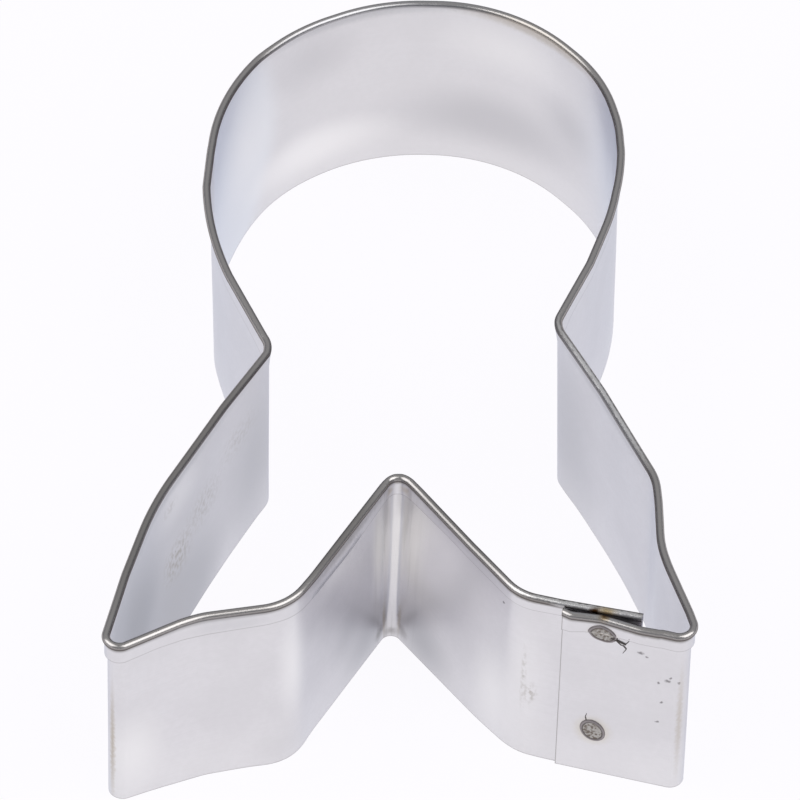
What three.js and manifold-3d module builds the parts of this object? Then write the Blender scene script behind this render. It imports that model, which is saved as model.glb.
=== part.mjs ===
// Cookie cutter in the shape of a looped ribbon with two splayed tails.
// One strip of tinplate is bent to the outline by hand. Its top edge is rolled outward into a safe hem,
// its bottom edge is the cutting edge, and its ends lap on the right foot, where two spot welds hold them.
// Millimetres, +Z up, cutting edge on z = 0, loop towards +Y, feet towards -Y.

import * as THREE from "three";
import { mergeVertices } from "three/addons/utils/BufferGeometryUtils.js";
import Module from "manifold-3d";

const wasm = await Module();
wasm.setup();

// Outline, on the middle of the sheet at the cutting edge
const CUTTER_LENGTH = 97.5; // left corner to the top of the loop
const TAIL_SPREAD = 62.6; // left corner to right corner
const LOOP_WIDTH = 44.8; // shoulder to shoulder

// Strip and its rolled hem
const STRIP_DEPTH = 25.4; // cutting edge to the top of the roll
const SHEET = 0.28; // thickness of the tinplate
const ROLL_BORE = 0.32; // hollow left inside the roll
const ROLL_TUCK = 70; // degrees that the roll turns in under itself, to meet the flap
const FLAP_DEPTH = 2.15; // flat flap below the roll, down to its raw edge
const HEM_GAP = 0.06; // between the flap and the wall

// Lap of the two ends on the right foot
const LAP_START = 5.2; // from the right crotch to the outer end of the strip
const LAP_LENGTH = 8.3; // from there to the inner end, behind the outer layer
const LAP_GAP = 0.06; // between the two layers at the cutting edge
const LAP_ROLL_GAP = 0.36; // between the roll of the inner layer and the outer layer

// Spot welds through the lap
const WELD_DIAMETER = 3;
const UPPER_WELD_FROM_END = 4.5; // along the lap from the outer end; this weld is at the hem's raw edge
const LOWER_WELD_FROM_END = 3.7;
const LOWER_WELD_HEIGHT = 6.6;
const WELD_RIM = 0.4; // width of the raised rim left by the electrode
const WELD_RISE = 0.08; // rim above the sheet
const WELD_DISH = 0.14; // middle below the rim
const WELD_GAP = 0.05; // round each weld in its holes

// Bends in the order in which the strip runs, leftwards from its inner end and round by the loop.
// x and y are where the straights on both sides would meet, on the middle of the sheet at the cutting edge.
// radius is on the inside of the bend, which is the side of the roll where the strip bends outward.
// lean is how far the rolled edge stands outside the cutting edge there. A wall that twists in the bend has
// one lean before it and another after it.
const RIGHT_CROTCH = { x: 12.1, y: -40, radius: 6, lean: -1 };
const NOTCH_TIP = { x: -1.1, y: -23.2, radius: 0.55, lean: -1.3, leanAfter: -0.4 };
const LEFT_CROTCH = { x: -11.5, y: -42, radius: 4.5, lean: -0.5 };
const LEFT_FOOT = { x: -20.6, y: -44.2, radius: 8, lean: -0.88 };
const LEFT_CORNER = { x: -31.2, y: -49.1, radius: 1.25, lean: -0.1 };
const LEFT_KNEE = { x: -26.15, y: -28.5, radius: 40, lean: 0.38 };
const LEFT_WAIST = { x: -15.25, y: -4.8, radius: 2, lean: -0.85, leanAfter: -0.48 };
const LOOP_LEFT_FLANK = { x: -21.5, y: 11.4, radius: 40, lean: 0.6 };
const LOOP_LEFT_SHOULDER = { x: -21.8, y: 33, radius: 25, lean: 0.17 };
const LOOP_TOP_LEFT = { x: -8.6, y: LEFT_CORNER.y + CUTTER_LENGTH, radius: 22, lean: -0.8 };
const LOOP_TOP_RIGHT = { x: 11.2, y: LOOP_TOP_LEFT.y, radius: 20, lean: -0.92 };
const LOOP_RIGHT_SHOULDER = { x: LOOP_LEFT_SHOULDER.x + LOOP_WIDTH, y: 35.3, radius: 19, lean: -0.57 };
const LOOP_RIGHT_FLANK = { x: 23.2, y: 19, radius: 35, lean: -0.3 };
const RIGHT_WAIST = { x: 17, y: -0.7, radius: 2, lean: -1, leanAfter: -1.15 };
const RIGHT_KNEE = { x: 27.2, y: -22.4, radius: 8, lean: -0.42 };
const RIGHT_ANKLE = { x: 27.6, y: -32, radius: 14, lean: -0.52 };
const RIGHT_CORNER = { x: LEFT_CORNER.x + TAIL_SPREAD, y: -44.7, radius: 1.25 }; // leans to clear the lap

// Fineness of the facets
const CHORD_ERROR = 0.02; // between a wide bend and its facets
const MOST_TURN = 12; // degrees per facet of a tight bend
const MOST_TWIST = 0.08; // change of lean along one facet
const ROLL_DIVISIONS = 2; // gives each arc of the roll twice as many facets
const WELD_SIDES = 32;
const LEAST_STRAIGHT = 0.2; // left between two bends

// Finish
const TINPLATE = { color: 0xcbced4, roughness: 0.3, metalness: 1 };
const WELD_STEEL = { color: 0x8a7f72, roughness: 0.6, metalness: 1 };

const rollDiameter = ROLL_BORE + 2 * SHEET;
const rawEdgeHeight = STRIP_DEPTH - rollDiameter - FLAP_DEPTH;
const rollReach = rollDiameter - SHEET / 2; // outward from the middle of the sheet
const lapStep = SHEET + LAP_GAP;
const outerLapLean = RIGHT_CROTCH.lean + rollDiameter + LAP_ROLL_GAP - lapStep;
const holeOverrun = 2 * SHEET; // past both faces of the lap

// The right foot: its direction towards the corner, and the outward side of it
const crotchPoint = new THREE.Vector2(RIGHT_CROTCH.x, RIGHT_CROTCH.y);
const cornerPoint = new THREE.Vector2(RIGHT_CORNER.x, RIGHT_CORNER.y);
const footRun = cornerPoint.clone().sub(crotchPoint).normalize();
const footOut = new THREE.Vector2(footRun.y, -footRun.x);

// A place on the right foot, measured from the crotch and outward from the inner layer
function onFoot(along, out) {
  return crotchPoint.clone().addScaledVector(footRun, along).addScaledVector(footOut, out);
}

// Bend table of the whole strip, with the outer layer's corner one step outside the inner layer
function stripBends() {
  const { x, y } = cornerPoint.clone().addScaledVector(footOut, lapStep);
  return [
    RIGHT_CROTCH, NOTCH_TIP, LEFT_CROTCH, LEFT_FOOT, LEFT_CORNER, LEFT_KNEE, LEFT_WAIST,
    LOOP_LEFT_FLANK, LOOP_LEFT_SHOULDER, LOOP_TOP_LEFT,
    LOOP_TOP_RIGHT, LOOP_RIGHT_SHOULDER, LOOP_RIGHT_FLANK,
    RIGHT_WAIST, RIGHT_KNEE, RIGHT_ANKLE, { ...RIGHT_CORNER, x, y, lean: outerLapLean },
  ];
}

// Angle of one facet of a bend
function facetAngle(radius) {
  const fine = 2 * Math.acos(1 - Math.min(CHORD_ERROR / radius, 1));
  return Math.min(fine, THREE.MathUtils.degToRad(MOST_TURN));
}

// One bend between its neighbours: where it turns, how, and how much of each straight beside it that takes
function measureBend(before, bend, after) {
  const vertex = new THREE.Vector2(bend.x, bend.y);
  const arrive = new THREE.Vector2(bend.x - before.x, bend.y - before.y).normalize();
  const leave = new THREE.Vector2(after.x - bend.x, after.y - bend.y).normalize();
  const turn = Math.atan2(arrive.cross(leave), arrive.dot(leave));
  const inside = turn > 0 ? rollReach : SHEET / 2;
  const radius = bend.radius + inside;
  const setback = radius * Math.tan(Math.abs(turn) / 2);
  return { vertex, arrive, turn, radius, setback };
}

// For each straight of the route, the share of their full size that the bends at its ends have room for
function straightShares(route, measures) {
  const setbacks = [0, ...measures.map(({ setback }) => setback), 0];
  return route.slice(1).map((to, i) => {
    const length = Math.hypot(to.x - route[i].x, to.y - route[i].y);
    return Math.min(1, (length - LEAST_STRAIGHT) / (setbacks[i] + setbacks[i + 1]));
  });
}

// Stations round one bend, made at a share of its full size
function bendStations({ vertex, arrive, turn, ...full }, share) {
  const radius = full.radius * share;
  const start = vertex.clone().addScaledVector(arrive, -full.setback * share);
  const left = new THREE.Vector2(-arrive.y, arrive.x);
  const centre = start.clone().addScaledVector(left, radius * Math.sign(turn));
  const facets = Math.ceil(Math.abs(turn) / facetAngle(radius));
  const stations = [];
  for (let i = 0; i <= facets; i += 1) {
    const angle = (turn * i) / facets;
    const place = start.clone().rotateAround(centre, angle);
    const out = left.clone().rotateAround(new THREE.Vector2(), angle);
    stations.push({ place, out });
  }
  return stations;
}

// Stations of the whole strip: its two ends, and every facet of every bend between them
function stripStations() {
  const bends = stripBends();
  const innerEnd = onFoot(LAP_START + LAP_LENGTH, 0);
  const outerEnd = onFoot(LAP_START, lapStep);
  const route = [innerEnd, ...bends, outerEnd];
  const measures = bends.map((bend, i) => measureBend(route[i], bend, route[i + 2]));
  const shares = straightShares(route, measures);
  const stations = [{ place: innerEnd, out: footOut }];
  const leans = [];
  bends.forEach((bend, i) => {
    const round = bendStations(measures[i], Math.min(shares[i], shares[i + 1]));
    stations.push(...round);
    leans.push(...bendLeans(bend, round));
  });
  stations.push({ place: outerEnd, out: footOut });
  measureRuns(stations);
  for (const station of stations) {
    station.lean = leanAt(station.run, leans);
  }
  return splitTwists(stations);
}

// Stations at which a bend sets the lean: its middle, or its start and its end where the wall twists in it
function bendLeans({ lean, leanAfter }, round) {
  if (leanAfter === undefined) {
    return [{ station: round[Math.floor(round.length / 2)], lean }];
  }
  return [{ station: round[0], lean }, { station: round[round.length - 1], lean: leanAfter }];
}

// Gives each station its distance along the strip
function measureRuns(stations) {
  let run = 0;
  stations.forEach((station, i) => {
    run += i === 0 ? 0 : station.place.distanceTo(stations[i - 1].place);
    station.run = run;
  });
}

// Lean at a distance along the strip, changing evenly from each station that sets it to the next
function leanAt(run, leans) {
  const next = leans.findIndex(({ station }) => station.run >= run);
  if (next < 0) {
    return leans[leans.length - 1].lean;
  }
  if (next === 0) {
    return leans[0].lean;
  }
  const from = leans[next - 1];
  const to = leans[next];
  return THREE.MathUtils.mapLinear(run, from.station.run, to.station.run, from.lean, to.lean);
}

// Adds stations where the wall twists, so that its two faces follow the twist alike and the sheet stays even
function splitTwists(stations) {
  return stations.flatMap((station, i) => {
    const before = stations[Math.max(i - 1, 0)];
    const parts = Math.max(1, Math.ceil(Math.abs(station.lean - before.lean) / MOST_TWIST));
    return Array.from({ length: parts }, (_, k) => stationBetween(before, station, (k + 1) / parts));
  });
}

function stationBetween(from, to, share) {
  return {
    place: from.place.clone().lerp(to.place, share),
    out: from.out.clone().lerp(to.out, share).normalize(),
    lean: THREE.MathUtils.lerp(from.lean, to.lean, share),
  };
}

// The strip as a path to sweep along, with stations at the ends of every straight, round every bend and along
// every twist. At each station the section faces outward and leans as the wall does there.
class StripPath extends THREE.Curve {
  constructor(stations) {
    super();
    this.stations = stations;
  }

  getSpacedPoints() {
    return this.stations.map(({ place }) => new THREE.Vector3(place.x, place.y, 0));
  }

  computeFrenetFrames() {
    const normals = this.stations.map(({ out }) => new THREE.Vector3(out.x, out.y, 0));
    const binormals = this.stations.map(({ out, lean }) => {
      const slope = lean / STRIP_DEPTH;
      return new THREE.Vector3(out.x * slope, out.y * slope, 1);
    });
    return { normals, binormals };
  }
}

// Section of the strip: x outward from the middle of the sheet, y up from the cutting edge.
// The wall goes up to the roll, the roll turns outward and under, and the flap comes back down the wall.
function stripSection() {
  const half = SHEET / 2;
  const rollX = -half + rollDiameter / 2;
  const rollY = STRIP_DEPTH - rollDiameter / 2;
  const tuck = -THREE.MathUtils.degToRad(ROLL_TUCK);
  const flapTop = rawEdgeHeight + FLAP_DEPTH;
  const flapInner = half + HEM_GAP;
  const section = new THREE.Shape();
  section.moveTo(-half, 0);
  section.lineTo(-half, rollY);
  section.absarc(rollX, rollY, rollDiameter / 2, Math.PI, Math.PI / 2, true);
  section.absarc(rollX, rollY, rollDiameter / 2, Math.PI / 2, tuck, true);
  section.lineTo(flapInner + SHEET, flapTop);
  section.lineTo(flapInner + SHEET, rawEdgeHeight);
  section.lineTo(flapInner, rawEdgeHeight);
  section.lineTo(flapInner, flapTop);
  section.absarc(rollX, rollY, ROLL_BORE / 2, tuck, Math.PI, false);
  section.lineTo(half, 0);
  section.closePath();
  return section;
}

function sweepStrip() {
  const stations = stripStations();
  return new THREE.ExtrudeGeometry(stripSection(), {
    steps: stations.length - 1,
    curveSegments: ROLL_DIVISIONS,
    extrudePath: new StripPath(stations),
  });
}

// Places of a weld's back and front faces, outward from the inner layer at the cutting edge
function weldReach(height, flapped) {
  const rise = height / STRIP_DEPTH;
  const flap = flapped ? HEM_GAP + SHEET : 0;
  return {
    back: -SHEET / 2 + RIGHT_CROTCH.lean * rise,
    front: lapStep + SHEET / 2 + outerLapLean * rise + flap,
  };
}

// A spot weld as a slug through both layers, dished on both faces inside a raised rim
function weldSlug({ back, front }) {
  const radius = WELD_DIAMETER / 2;
  const profile = [
    new THREE.Vector2(0, back - WELD_RISE + WELD_DISH),
    new THREE.Vector2(radius - WELD_RIM, back - WELD_RISE + WELD_DISH / 2),
    new THREE.Vector2(radius - WELD_RIM / 2, back - WELD_RISE),
    new THREE.Vector2(radius, back),
    new THREE.Vector2(radius, front),
    new THREE.Vector2(radius - WELD_RIM / 2, front + WELD_RISE),
    new THREE.Vector2(radius - WELD_RIM, front + WELD_RISE - WELD_DISH / 2),
    new THREE.Vector2(0, front + WELD_RISE - WELD_DISH),
  ];
  return new THREE.LatheGeometry(profile, WELD_SIDES);
}

// The round hole that a weld fills, through both layers and past them
function weldHole({ back, front }) {
  const radius = WELD_DIAMETER / 2 + WELD_GAP;
  const length = front - back + 2 * holeOverrun;
  const hole = new THREE.CylinderGeometry(radius, radius, length, WELD_SIDES);
  return hole.translate(0, (front + back) / 2, 0);
}

// Stands a weld's own frame on the lap, its y axis pointing outward through the foot
function placeOnLap(object, fromEnd, height) {
  const middle = onFoot(LAP_START + fromEnd, 0);
  object.position.set(middle.x, middle.y, height);
  object.rotation.z = Math.atan2(-footOut.x, footOut.y);
  object.updateMatrix();
  return object;
}

function toSolid(geometry) {
  const bare = geometry.clone();
  bare.deleteAttribute("normal");
  bare.deleteAttribute("uv");
  const merged = mergeVertices(bare);
  const vertProperties = new Float32Array(merged.attributes.position.array);
  const triVerts = new Uint32Array(merged.index.array);
  return new wasm.Manifold(new wasm.Mesh({ numProp: 3, vertProperties, triVerts }));
}

function toGeometry(solid) {
  const { vertProperties, triVerts } = solid.getMesh();
  const geometry = new THREE.BufferGeometry();
  geometry.setAttribute("position", new THREE.BufferAttribute(vertProperties, 3));
  geometry.setIndex(new THREE.BufferAttribute(triVerts, 1));
  geometry.computeVertexNormals();
  return geometry;
}

function namedMesh(name, geometry, finish) {
  const mesh = new THREE.Mesh(geometry, new THREE.MeshStandardMaterial(finish));
  mesh.name = name;
  return mesh;
}

const welds = [
  { name: "upper_spot_weld", fromEnd: UPPER_WELD_FROM_END, height: rawEdgeHeight, flapped: true },
  { name: "lower_spot_weld", fromEnd: LOWER_WELD_FROM_END, height: LOWER_WELD_HEIGHT, flapped: false },
];

const cutter = new THREE.Group();
let strip = toSolid(sweepStrip());
for (const { name, fromEnd, height, flapped } of welds) {
  const reach = weldReach(height, flapped);
  const slug = placeOnLap(namedMesh(name, weldSlug(reach), WELD_STEEL), fromEnd, height);
  strip = strip.subtract(toSolid(weldHole(reach).applyMatrix4(slug.matrix)));
  cutter.add(slug);
}
cutter.add(namedMesh("tinplate_strip", toGeometry(strip), TINPLATE));

// The origin is at the middle of the outline, on the cutting edge
const middle = new THREE.Box3().setFromObject(cutter).getCenter(new THREE.Vector3());
cutter.position.set(-middle.x, -middle.y, 0);

export default cutter;
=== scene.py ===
import math
from collections import namedtuple

import bpy
import numpy as np
from mathutils import Matrix, Vector, noise


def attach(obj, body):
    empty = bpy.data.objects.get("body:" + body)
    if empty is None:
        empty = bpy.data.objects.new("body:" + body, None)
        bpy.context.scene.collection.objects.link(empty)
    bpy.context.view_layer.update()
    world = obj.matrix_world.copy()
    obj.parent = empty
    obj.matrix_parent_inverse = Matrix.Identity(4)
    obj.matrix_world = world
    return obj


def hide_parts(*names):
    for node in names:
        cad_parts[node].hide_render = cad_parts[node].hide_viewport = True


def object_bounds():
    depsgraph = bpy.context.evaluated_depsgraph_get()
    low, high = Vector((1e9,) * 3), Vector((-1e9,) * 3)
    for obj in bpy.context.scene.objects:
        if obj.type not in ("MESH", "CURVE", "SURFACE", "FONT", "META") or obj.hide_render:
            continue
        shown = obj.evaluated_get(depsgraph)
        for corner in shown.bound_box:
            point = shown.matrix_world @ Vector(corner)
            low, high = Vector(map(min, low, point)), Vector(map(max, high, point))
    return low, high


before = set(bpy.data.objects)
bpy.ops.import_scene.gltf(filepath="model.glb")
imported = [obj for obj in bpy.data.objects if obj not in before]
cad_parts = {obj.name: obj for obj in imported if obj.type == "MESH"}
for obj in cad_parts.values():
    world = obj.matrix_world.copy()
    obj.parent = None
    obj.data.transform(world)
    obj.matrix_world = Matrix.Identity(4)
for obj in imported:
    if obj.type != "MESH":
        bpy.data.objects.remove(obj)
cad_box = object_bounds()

# Lengths of the cutter are in millimetres, as on the drawing. Blender's own units are metres.
MM = 0.001

# Sheet and rolled hem
STRIP_DEPTH = 25.4
STRIP_LENGTH = 309.48
SHEET = 0.28
ROLL_BORE = 0.32
ROLL_TUCK = 70
FLAP_DEPTH = 2.15
HEM_GAP = 0.06
EDGE_ROUND = 0.09
HALF = SHEET / 2
ROLL_DIAMETER = ROLL_BORE + 2 * SHEET
ROLL_REACH = ROLL_DIAMETER - HALF
ROLL_HEIGHT = STRIP_DEPTH - ROLL_DIAMETER / 2
FLAP_TOP = STRIP_DEPTH - ROLL_DIAMETER
RAW_EDGE_HEIGHT = FLAP_TOP - FLAP_DEPTH
FLAP_INNER = HALF + HEM_GAP
FLAP_OUTER = FLAP_INNER + SHEET

# Lap of the two ends on the right foot, and its spot welds
LAP_START = 5.2
LAP_LENGTH = 8.3
LAP_GAP = 0.06
LAP_STEP = SHEET + LAP_GAP
Weld = namedtuple("Weld", "node from_end height half_long half_short tilt")
UPPER_WELD = Weld("upper_spot_weld", 4.46, 22.75, 1.7, 1.45, math.radians(-16))
LOWER_WELD = Weld("lower_spot_weld", 3.9, 6.75, 1.75, 1.4, math.radians(112))

# Lean of the rolled edge outward of the cutting edge, as distance from the inner end of the strip and lean
LEANS = (
    (0.0, -1.43), (8.7, -1.03), (22.0, -1.02), (31.5, -1.26), (33.5, -1.24), (34.0, -1.06), (34.7, -0.6),
    (35.1, -0.46), (50.0, -0.4), (56.5, -0.7), (66.0, -1.0), (75.5, -0.1), (84.0, 0.25), (98.0, 0.06),
    (110.0, -0.25), (119.0, -0.93), (121.2, -0.5), (131.0, 0.13), (144.5, 0.64), (151.0, 0.18), (165.0, 0.03),
    (176.0, -0.74), (187.0, -0.95), (205.0, -0.65), (216.0, -0.64), (222.5, -0.27), (229.0, -0.52),
    (240.0, -0.43), (249.0, -1.15), (260.0, -0.66), (272.0, -0.66), (277.0, -0.46), (286.0, -0.5),
    (292.7, -0.13),
)
# Lean of the lap's outer layer, as distance from its own end and lean. The upper weld pinches it.
OUTER_LAP_LEANS = ((0.0, -0.3), (1.0, 0.0), (4.2, -0.4), (8.5, 0.05), (10.5, -0.05))

# Hand bending also bows the wall. Its shift outward at the cutting edge and just below the roll, which keeps
# its place, as distance from the inner end of the strip and shift
EDGE_SHIFTS = (
    (10.0, 0.0), (12.5, -0.15), (14.5, -0.3), (17.0, -0.12), (19.5, 0.0), (50.5, 0.0), (54.7, 0.33),
    (59.0, 0.13), (64.0, 0.24), (70.0, 0.0), (92.0, 0.0), (100.0, -0.25), (105.5, -0.14), (111.0, -0.16),
    (116.4, -0.31), (118.3, -0.42), (119.6, -0.54), (120.8, -0.54), (122.5, -0.5), (130.0, -0.58),
    (136.0, -0.42), (141.0, 0.0), (147.0, -0.05), (152.0, -0.14), (157.0, -0.3), (160.6, -0.2),
    (163.0, -0.06), (167.0, 0.15), (170.0, 0.1), (174.0, 0.0), (250.6, 0.0), (252.2, 0.06), (254.4, 0.27),
    (258.3, 0.38), (262.2, 0.46), (266.1, 0.44), (270.0, 0.23), (274.0, 0.0),
)
HEM_SHIFTS = (
    (116.4, 0.0), (118.3, 0.15), (119.6, 0.3), (120.8, 0.3), (122.5, 0.15), (130.0, 0.0), (136.0, -0.08),
    (141.0, -0.24), (147.0, -0.1), (152.0, 0.0), (246.0, 0.0), (248.6, 0.3), (249.6, 0.35), (250.6, 0.3),
    (252.2, 0.1), (254.4, 0.0),
)
# Distances over which a shift is averaged, and the height below the roll over which it fades
SHIFT_BLUR = np.linspace(-1.0, 1.0, 5)
SHIFT_FADE = 2.6

# Height of the hem's raw edge, which wanders, as distance from the inner end of the strip and height
RAW_EDGE = (
    (0.0, 23.2), (9.0, 23.2), (16.0, 22.95), (26.0, 23.0), (34.0, 22.55), (43.0, 21.7), (51.0, 21.95),
    (56.0, 22.5), (64.0, 22.2), (69.0, 22.65), (75.0, 22.4), (290.0, 22.45), (302.0, 22.9), (307.0, 22.7),
    (309.8, 22.1),
)

# Bends of the strip: the corner of its middle line at the cutting edge, and the inside radius
Bend = namedtuple("Bend", "x y radius")
RIGHT_CROTCH = Bend(12.1, -40.0, 6.0)
NOTCH_TIP = Bend(-1.1, -23.2, 0.55)
LEFT_CROTCH = Bend(-11.5, -42.0, 6.5)
LEFT_FOOT = Bend(-20.6, -44.2, 8.0)
LEFT_CORNER = Bend(-31.2, -49.1, 1.25)
LEFT_KNEE = Bend(-26.15, -28.5, 40.0)
LEFT_WAIST = Bend(-15.25, -4.8, 2.0)
LOOP_LEFT_FLANK = Bend(-21.5, 11.4, 40.0)
LOOP_LEFT_SHOULDER = Bend(-21.8, 33.0, 25.0)
LOOP_TOP_LEFT = Bend(-8.6, 48.4, 22.0)
LOOP_TOP_RIGHT = Bend(11.2, 48.4, 20.0)
LOOP_RIGHT_SHOULDER = Bend(23.0, 35.3, 19.0)
LOOP_RIGHT_FLANK = Bend(23.2, 19.0, 35.0)
RIGHT_WAIST = Bend(17.0, -0.7, 2.0)
RIGHT_KNEE = Bend(27.2, -22.4, 8.0)
RIGHT_ANKLE = Bend(27.6, -32.0, 14.0)
RIGHT_CORNER = Bend(31.4, -44.7, 1.25)
BENDS = (
    RIGHT_CROTCH, NOTCH_TIP, LEFT_CROTCH, LEFT_FOOT, LEFT_CORNER, LEFT_KNEE, LEFT_WAIST,
    LOOP_LEFT_FLANK, LOOP_LEFT_SHOULDER, LOOP_TOP_LEFT, LOOP_TOP_RIGHT, LOOP_RIGHT_SHOULDER,
    LOOP_RIGHT_FLANK, RIGHT_WAIST, RIGHT_KNEE, RIGHT_ANKLE, RIGHT_CORNER,
)
LEAST_STRAIGHT = 0.2

# Fineness of the strip's mesh
STATION_STEP = 0.8
LAP_STATION_STEP = 0.3
BEND_STEP = math.radians(4)
WALL_ROWS = 18
FLAP_ROWS = 3
ROLL_STEPS = 18
BORE_STEPS = 6
SHARP_ANGLE = math.radians(40)

# Waviness that hand bending leaves in the sheet
WAVE_HEIGHT = 0.05
WAVE_LENGTH = 14.0
WAVE_LAYER = 3

# Spot welds: a dished, crinkled middle inside a raised ring, and threads of metal squirted out of them
WELD_SIDES = 48
WELD_RINGS = 16
WELD_RING = 0.74
WELD_RING_TOP = 0.9
WELD_MIDDLE_FADE = WELD_RING / 3
WELD_LIFT = 0.1
WELD_DISH = 0.03
WELD_RISE = 0.04
WELD_SINK = 0.08
WELD_BACK = 0.04
WELD_BACK_SHARES = (1.0, 0.85)
WELD_CRINKLE = 0.07
WELD_CRINKLE_LENGTH = 0.35
# Height over which a weld's face steps from the wall onto the flap
FLAP_EASE = 0.9
Whisker = namedtuple("Whisker", "radius end_radius places")
WHISKERS = (
    Whisker(0.13, 0.07, ((5.3, 22.3), (6.2, 22.09), (7.0, 21.87))),
    Whisker(0.06, 0.03, ((6.95, 21.87), (7.29, 22.5), (7.37, 23.27))),
    Whisker(0.07, 0.03, ((6.7, 21.6), (7.07, 21.17), (6.71, 20.36))),
    Whisker(0.06, 0.03, ((6.0, 22.0), (6.4, 21.6), (6.8, 21.5))),
    Whisker(0.07, 0.03, ((3.14, 8.3), (3.05, 8.8), (3.17, 9.28))),
)
WHISKER_SIDES = 6
WHISKER_STEPS = 9
WHISKER_RAISE = 0.5
# A direction that no thread runs along
ACROSS_WHISKERS = Vector((0.3, 1, 0.2))

# Tinplate, its marks and the painted light on it, in linear colour
TIN = (0.775, 0.758, 0.782, 1)
TIN_SHADE = (0.71, 0.694, 0.714, 1)
# Painted light on the tin: a painted highlight, painted sheens of the mirrored surroundings, painted half
# shade, painted shade (which also lifts the roll's dark sides), deeper painted shade and a cool painted
# reflection
PAINTED_HIGHLIGHT_TIN = (0.97, 0.953, 0.953, 1)
PAINTED_SHEEN_TIN = (0.90, 0.885, 0.89, 1)
PAINTED_WARM_SHEEN_TIN = (0.90, 0.88, 0.845, 1)
SHADED_TIN = (0.66, 0.648, 0.668, 1)
PAINTED_DIM_TIN = (0.56, 0.555, 0.575, 1)
PAINTED_DEEP_SHADE_TIN = (0.43, 0.427, 0.442, 1)
PAINTED_COOL_SHEEN_TIN = (0.86, 0.885, 0.93, 1)
ROLL_TIN = (0.535, 0.51, 0.50, 1)
# Painted shade on the roll's sides, and a painted mid tone laid over the roll where its painted shade and
# highlight are too strong
ROLL_PAINTED_SHADE = (0.15, 0.137, 0.134, 1)
ROLL_PAINTED_MID_TONE = (0.34, 0.325, 0.315, 1)
WALL_EDGE_TINT = (0.85, 0.882, 0.95, 1)
ROLL_EDGE_TINT = (0.42, 0.402, 0.405, 1)
# Dark colour of grime and wear, also used for painted shade in the groove, along the raw, cutting and seam
# edges, and on the roll's sides
GRIME_AND_SHADE = (0.13, 0.115, 0.095, 1)
GOLD_TINT = (0.60, 0.41, 0.13, 1)
BURNT_TINT = (0.10, 0.045, 0.015, 1)
SMUDGE = (0.42, 0.39, 0.35, 1)
# Brown of stains, also used for a warm painted shade on the wall just under the roll
BROWN_STAIN_AND_SHADE = (0.50, 0.44, 0.36, 1)
SPECK = (0.07, 0.06, 0.06, 1)
HALO_TINT = (0.62, 0.55, 0.40, 1)
TIN_ROUGHNESS = 0.29
ROLL_ROUGHNESS = 0.25
TIN_ANISOTROPY = 0.72
QUARTER_TURN = 0.25
# Soft noise on the sheet: its length along the strip, width across it, detail, the range of noise that it
# fades over, and its strength
Pattern = namedtuple("Pattern", "length width detail low high strength")
GRAIN = Pattern(20.0, 0.14, 2.0, 0.3, 0.7, 0.22)
CLOUDS = Pattern(7.0, 7.0, 1.0, 0.35, 0.65, 0.4)
PEEL = Pattern(0.8, 0.8, 3.0, 0.3, 0.7, 0.3)
STREAKS = Pattern(0.8, 16.0, 2.0, 0.45, 0.75, 0.22)
MOTTLE = Pattern(0.5, 0.7, 4.0, 0.36, 0.7, 1.0)
# Painted reflection: the low part of the wall is painted paler up to this height from the cutting edge, with
# its core and strength
LOW_SHEEN = 9.0
LOW_SHEEN_CORE = 1.0
LOW_SHEEN_STRENGTH = 0.3
TIGHT_RADIUS = 0.6
WEAR_FADE = 1.2
# Painted highlight and painted shade on the roll: the angle of its paler crown, the half width of the crown,
# and how far the painted shade on its sides reaches
ROLL_CROWN = math.radians(78)
ROLL_CROWN_HALF = 0.2
ROLL_PAINTED_SHADE_HALF = 0.75
ROLL_FADE = 0.15
# Dark lines: painted shade with some grime in the groove under the roll, dirt with a painted shadow along the
# raw edge, a painted contact shadow along the cutting edge, and a painted shadow in the gap at the seam
GROOVE_HALF = 0.55
GROOVE_STRENGTH = 0.65
RAW_LINE_HALF = 0.3
RAW_LINE_STRENGTH = 0.8
EDGE_LINE_HALF = 0.32
EDGE_LINE_STRENGTH = 0.4
SEAM_LINE = 0.14
SEAM_STRENGTH = 0.7
RAGGED_SCALE = 2.2
RAGGED_DETAIL = 1.0
RAGGED_REACH = 0.35
# A soft oval on the sheet. It is full inside its core, which is a share of its half length and half height.
Mark = namedtuple("Mark", "run across half_length half_height colour strength core", defaults=(0.3,))
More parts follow.
